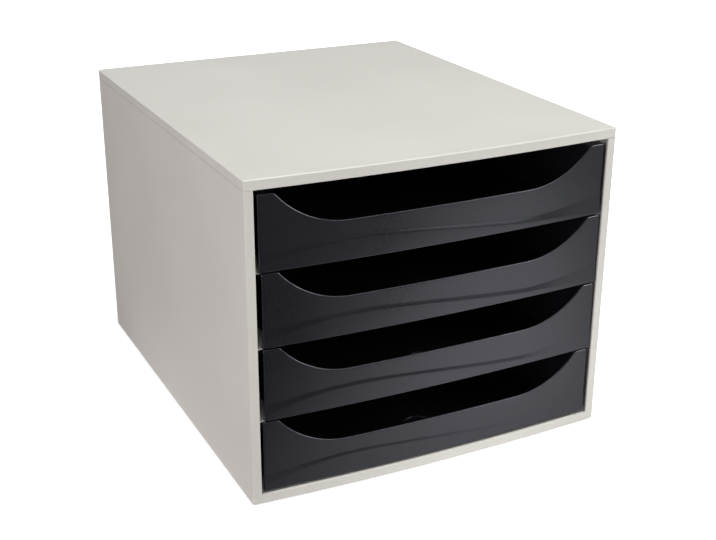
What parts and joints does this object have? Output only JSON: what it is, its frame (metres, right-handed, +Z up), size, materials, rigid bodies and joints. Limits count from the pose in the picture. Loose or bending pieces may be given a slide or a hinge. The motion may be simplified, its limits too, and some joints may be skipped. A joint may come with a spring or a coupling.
{
  "type": "desk drawer set",
  "caption": "Free-standing desktop cabinet with a bowed front and stacked open letter trays that slide forward as drawers, each with a scooped finger opening.",
  "frame": {"origin": "middle of the footprint, on the surface that the feet stand on", "axes": "+X to the right as seen from the front, +Y to the back (the drawers open towards -Y), +Z up"},
  "size_m": [0.284, 0.34, 0.235],
  "materials": {
    "shell": "satin, warm light grey",
    "drawer": "semi-gloss anthracite",
    "foot": "matt black"
  },
  "bodies": {
    "cabinet": {"housing": "shell", "lid": "shell", "back_panel": "shell", "foot_front_left": "foot", "foot_front_right": "foot", "foot_back_left": "foot", "foot_back_right": "foot"},
    "drawer_1": {"drawer_1": "drawer"},
    "drawer_2": {"drawer_2": "drawer"},
    "drawer_3": {"drawer_3": "drawer"},
    "drawer_4": {"drawer_4": "drawer"}
  },
  "joints": [
    {"name": "drawer_1_slide", "type": "slide", "parent": "cabinet", "child": "drawer_1", "axis": [0, -1, 0], "range_m": [0, 0.235]},
    {"name": "drawer_2_slide", "type": "slide", "parent": "cabinet", "child": "drawer_2", "axis": [0, -1, 0], "range_m": [0, 0.235]},
    {"name": "drawer_3_slide", "type": "slide", "parent": "cabinet", "child": "drawer_3", "axis": [0, -1, 0], "range_m": [0, 0.235]},
    {"name": "drawer_4_slide", "type": "slide", "parent": "cabinet", "child": "drawer_4", "axis": [0, -1, 0], "range_m": [0, 0.235]}
  ]
}
